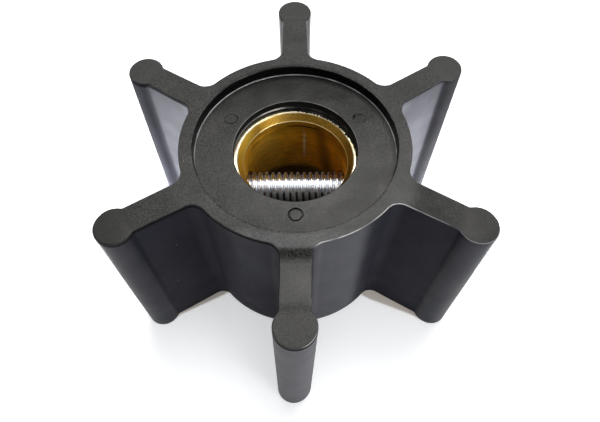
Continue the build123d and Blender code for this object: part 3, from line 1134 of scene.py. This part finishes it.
def finish_brass():
    w, shader, place, face = start_finish(brass, metallic=1.0)
    x, y, z = w.axes(place)
    rings = w.use(RINGS, Place=place, Pitch=0.13)
    grain = w.use(GRAIN, Place=place, Size=0.15)
    rim = w.ramp(z, FACE_AT - 0.20, FACE_AT - 0.04)
    rubbed = w.use(WEAR, Place=place, Edge=rim, Patch=1.2, Amount=0.6)
    deep = w.ramp(z, CONE_FOOT + 0.1, CONE_FOOT - 0.3)
    stain = w.noise(w.stretched(place, (1, 1, 0.25)), 2.2, 3.0, 0.6)
    streak = w.noise(w.stretched(place, (1, 1, 0.03)), 0.9, 2.0)

    # painted highlight as a bright line under the cone, painted shade as a dark arc below it, and a painted
    # highlight as a pale stroke down the bore
    line = w.near(z, CONE_FOOT, 0.03, 0.11)
    arc_shade = w.mask(w.near(z, CONE_FOOT - 1.1, 0.10, 0.22), w.near(x, 1.2, 1.8, 3.2),
                      w.calc("GREATER_THAN", y, 0.0))
    stroke = w.mask(w.near(x, 1.45, 0.05, 0.32), (z, 15.5, 18.0), (z, 23.5, 21.0),
                    (rings["Height"], -0.15, 0.15, 0.3, 0.9))

    # painted light and shade on the bore: a painted glow at the left, painted shade above, a slanted band
    # of painted shade, and painted shade at the front, where the bore is also rougher
    glow = w.mask(w.near(x, -4.6, 0.8, 2.8), (z, 24.5, 21.5))
    shade = w.mask((z, 21.5, 24.0, 0.0, 0.6), (x, -4.5, -2.0))
    slanted = w.total((x, 1.0), (z, 0.18), (1.0, -8.5), (stain, 0.8))
    band = w.mask(w.near(slanted, 0.0, 0.1, 1.5), 0.6)
    shaded_front = w.ramp(y, -0.5, -3.5)

    # the cone: grain, a painted highlight on its left, and a painted highlight line at its foot
    bright = w.coats(w.blend(grain["Mottle"], *CONE),
                     (w.ramp(grain["Height"], -0.12, 0.16, 0.0, 0.6), CONE_GRAIN),
                     (w.ramp(x, -5.6, -8.2), CONE_LEFT_HIGHLIGHT), (line, CONE_FOOT_HIGHLIGHT))
    # the bore: stains, streaks and turning rings, with the painted glow, highlights and shade listed above
    dull = w.coats(w.blend(w.ramp(stain, 0.3, 0.7), *BORE), (w.ramp(streak, 0.6, 0.75), BORE_STREAK),
                   (w.ramp(x, -4.5, 6.5, 0.0, 0.75), BORE_RIGHT_SHADE), (glow, BORE_GLOW),
                   (w.ramp(rings["Height"], 0.10, -0.26, 0.0, 0.45), RING_DARK), (shade, BORE_SHADE),
                   (band, BORE_BAND_SHADE), (line, CONE_FOOT_HIGHLIGHT), (arc_shade, GROOVE_SHADE), (stroke, STROKE_HIGHLIGHT),
                   (shaded_front, BORE_FRONT_SHADE), (w.ramp(z, SEAT_END + 0.3, SEAT_END), SEAT_SHADE),
                   (face["Level"], STEP_SHADE))
    colour = w.coats(w.blend(deep, bright, dull), (rim, RIM), (rubbed["Rub"], RIM_RUBBED))
    rough = w.total((1.0, 0.36), (rings["Streak"], 0.08), (deep, 0.20), (stain, 0.06), (rim, -0.12),
                    (w.mask(shaded_front, deep), 0.3))
    height = w.total((rings["Height"], 0.010), (grain["Height"], 0.003), (rubbed["Nick"], -0.02))
    end_finish(w, shader, colour, rough, height)


finish_brass()

# %% [markdown]
# ## Steel
# The screw is bright rolled steel. Its crests are polished by use, and brass dust sits in its roots.
# The roots are darker, partly as grime and partly as painted shade, most where they face away from
# the top, so the distance from the screw's own axis tells bright from dark.

# %% Finish of the steel
ROOT_AT = SCREW - 0.42
STEEL = (0.76, 0.80, 0.88), (0.88, 0.92, 0.98)
# grime and painted shade for the roots, and brass dust
ROOT_GRIME_AND_SHADE, BRASS_DUST = (0.030, 0.018, 0.010), (0.30, 0.24, 0.18)


def finish_steel():
    w, shader, place, _ = start_finish(steel, metallic=1.0)
    grain = w.use(GRAIN, Place=place, Size=0.12)
    dust = w.use(DUST, Place=place, Spacing=0.6, Size=0.08, Share=0.25)
    marks = w.noise(w.stretched(place, (1, 0.2, 0.2)), 0.5, 2.0)
    _, y, z = w.axes(place)
    up = w.calc("SUBTRACT", z, SCREW_AT)
    away = w.calc("SQRT", w.total((y, y), (up, up)))
    root = w.ramp(away, ROOT_AT + 0.16, ROOT_AT)
    # the roots are darkened partly as grime and partly as painted shade, most where they face away from the
    # top
    off_top = w.ramp(w.calc("DIVIDE", up, w.calc("MAXIMUM", away, 0.1)), 0.88, 0.74)
    shaded = w.either(w.mask(root, off_top), w.ramp(away, ROOT_AT, ROOT_AT + 0.02, 0.75, 0.0))
    colour = w.coats(w.blend(w.ramp(marks, 0.3, 0.7), *STEEL), (shaded, ROOT_GRIME_AND_SHADE),
                     (dust["Speck"], BRASS_DUST))
    rough = w.total((1.0, 0.10), (root, 0.22), (grain["Mottle"], 0.08), (off_top, 0.26))
    end_finish(w, shader, colour, rough, w.total((grain["Height"], 0.002), (marks, 0.01)))


finish_steel()

# %% [markdown]
# ## Floor and light
# The wheel lies on a pale table. The widest soft box hangs behind and above it, so that the flat ends
# shine softly and the walls that face the camera stay dark. A weaker one hangs straight above, and two
# more fill in from the right. Small panels on the table, at both sides, light the flanks of the vanes.
# The floor is lifted to white where the camera or a mirror sees it, and keeps its shadow.

# %% Floor
AROUND = 96
FLOOR_TOP, BOWL_FROM, BOWL_ROUND, BOWL_HEIGHT = -0.02, 2000, 600, 1400


def bowl():
    """A table top that curves up into a low backdrop all round: rings of radius and height in mm."""
    turn = np.linspace(0, 2 * math.pi, AROUND, endpoint=False)
    profile = [(200, 0), (800, 0), (BOWL_FROM, 0)]
    profile += [(BOWL_FROM + BOWL_ROUND * math.sin(a), BOWL_ROUND * (1 - math.cos(a)))
                for a in np.radians(range(10, 91, 10))]
    profile += [(BOWL_FROM + BOWL_ROUND, BOWL_HEIGHT)]
    points = [(0, 0, FLOOR_TOP)]
    points += [(r * math.cos(a), r * math.sin(a), z + FLOOR_TOP) for r, z in profile for a in turn]
    faces = [(0, 1 + i, 1 + (i + 1) % AROUND) for i in range(AROUND)]
    for k in range(len(profile) - 1):
        a = 1 + k * AROUND
        faces += [(a + i, a + AROUND + i, a + AROUND + (i + 1) % AROUND, a + (i + 1) % AROUND)
                  for i in range(AROUND)]
    return make_mesh("floor", points, faces)


floor = bowl()
for face in floor.data.polygons:
    face.use_smooth = True
floor_finish = bpy.data.materials.new("pale_floor")
floor.data.materials.append(floor_finish)
print("floor:", len(floor.data.polygons), "faces")

# %% Finish of the floor
FLOOR_LIFT = 0.51
PAPER = (0.835, 0.845, 0.865), (0.855, 0.862, 0.88)
FLOOR_DUST, SHADE_TINT = (0.45, 0.44, 0.42), (0.70, 0.64, 0.58)
LIFT_COOL, LIFT_WARM = (0.97, 0.985, 1.0), (1.0, 0.93, 0.86)
HALF_WEB = 2
# angle of a vane, the side of it that is shaded, and how far the shade reaches at its root and its tip
SHADED_VANES = ((330, -1, 1.8, 0.8), (210, 1, 0.9, 0.4))


def seen_directly(w):
    """1 for rays of the camera, of mirrors and through glass, and 0 for light that spreads."""
    path = w.node("ShaderNodeLightPath").outputs
    return w.either(path["Is Camera Ray"], w.either(path["Is Glossy Ray"], path["Is Transmission Ray"]))


def contact_shade(w, place):
    """A narrow shade on the table along the front edges of the two front vanes."""
    shade = 0.0
    for angle, side, wide, narrow in SHADED_VANES:
        a = math.radians(angle)
        ways = (math.cos(a), math.sin(a), 0), (-math.sin(a) * side, math.cos(a) * side, 0)
        along, aside = [w.node("ShaderNodeVectorMath", {0: place, 1: way}, operation="DOT_PRODUCT")
                        .outputs["Value"] for way in ways]
        width = w.ramp(along, 17, 25, HALF_WEB + wide, HALF_WEB + narrow, "LINEAR")
        strip = w.mask((w.calc("SUBTRACT", aside, width), 0.25, -0.35), (along, 27.2, 26.5),
                       w.calc("GREATER_THAN", aside, 0.0), w.calc("GREATER_THAN", along, 14))
        shade = w.either(shade, strip)
    return shade


def finish_floor():
    w, shader, place, _ = start_finish(floor_finish, specular=0.1)
    grain = w.use(GRAIN, Place=place, Size=0.5)
    dust = w.use(DUST, Place=place, Spacing=9.0, Size=0.16, Share=0.2)
    away = w.from_axis(place)
    shade = contact_shade(w, place)
    colour = w.coats(w.blend(grain["Mottle"], *PAPER), (w.mask(dust["Speck"], 0.35), FLOOR_DUST),
                     (shade, SHADE_TINT))
    end_finish(w, shader, colour, w.ramp(grain["Mottle"], 0, 1, 0.85, 0.95), w.mask(grain["Height"], 0.004))
    lift = w.mask((away, 70, 400, FLOOR_LIFT, 1.0), w.calc("MULTIPLY_ADD", shade, -0.75, 1.0),
                  seen_directly(w), (away, HUB - 3, HUB))
    glow = w.node("ShaderNodeEmission", {"Strength": lift, "Color": w.blend(shade, LIFT_COOL, LIFT_WARM)})
    both = w.node("ShaderNodeAddShader", {0: shader.outputs[0], 1: glow.outputs[0]})
    w.tree.links.new(both.outputs[0], w.tree.nodes["Material Output"].inputs["Surface"])


finish_floor()
print("floor lifted by", FLOOR_LIFT)

# %% Soft boxes and world
def soft_box(name, place, target, size, brightness, colour):
    """A rectangular light that looks at a point, all in mm. Brightness 1 mirrors as plain white."""
    data = bpy.data.lights.new(name, "AREA")
    data.shape = "RECTANGLE"
    data.size, data.size_y = size[0] * MM, size[1] * MM
    data.energy = brightness * 4 * data.size * data.size_y
    data.color = colour
    obj = link(name, data)
    obj.location = Vector(place) * MM
    obj.rotation_euler = (Vector(target) - Vector(place)).to_track_quat("-Z", "Y").to_euler()
    obj.visible_camera = False


WARM, COOL, PLAIN = (1, 0.985, 0.95), (0.94, 0.96, 1.06), (1, 1, 1)
# name, place, the point that it looks at, width and height, brightness, colour
for row in (
        ("back_overhead", (50, 195, 405), (0, 20, 0), (380, 200), 6.3, WARM),
        ("overhead", (0, 0, 420), (0, 0, 0), (200, 200), 2.6, WARM),
        ("right_low", (500, 60, 90), (0, 0, 15), (500, 180), 1.0, PLAIN),
        ("front_right", (320, -300, 190), (0, 0, 20), (160, 120), 9.0, PLAIN),
        ("left_panel", (-38, 3, 0.4), (-38, 3, 50), (30, 26), 8.2, COOL),
        ("right_panel", (38, 3, 0.4), (38, 3, 50), (30, 26), 7.0, COOL)):
    soft_box(*row)
WORLD = 0.18
world = bpy.data.worlds.new("studio")
scene.world = world
world.use_nodes = True
sky = world.node_tree.nodes["Background"]
sky.inputs["Color"].default_value = (1, 1, 1, 1)
sky.inputs["Strength"].default_value = WORLD
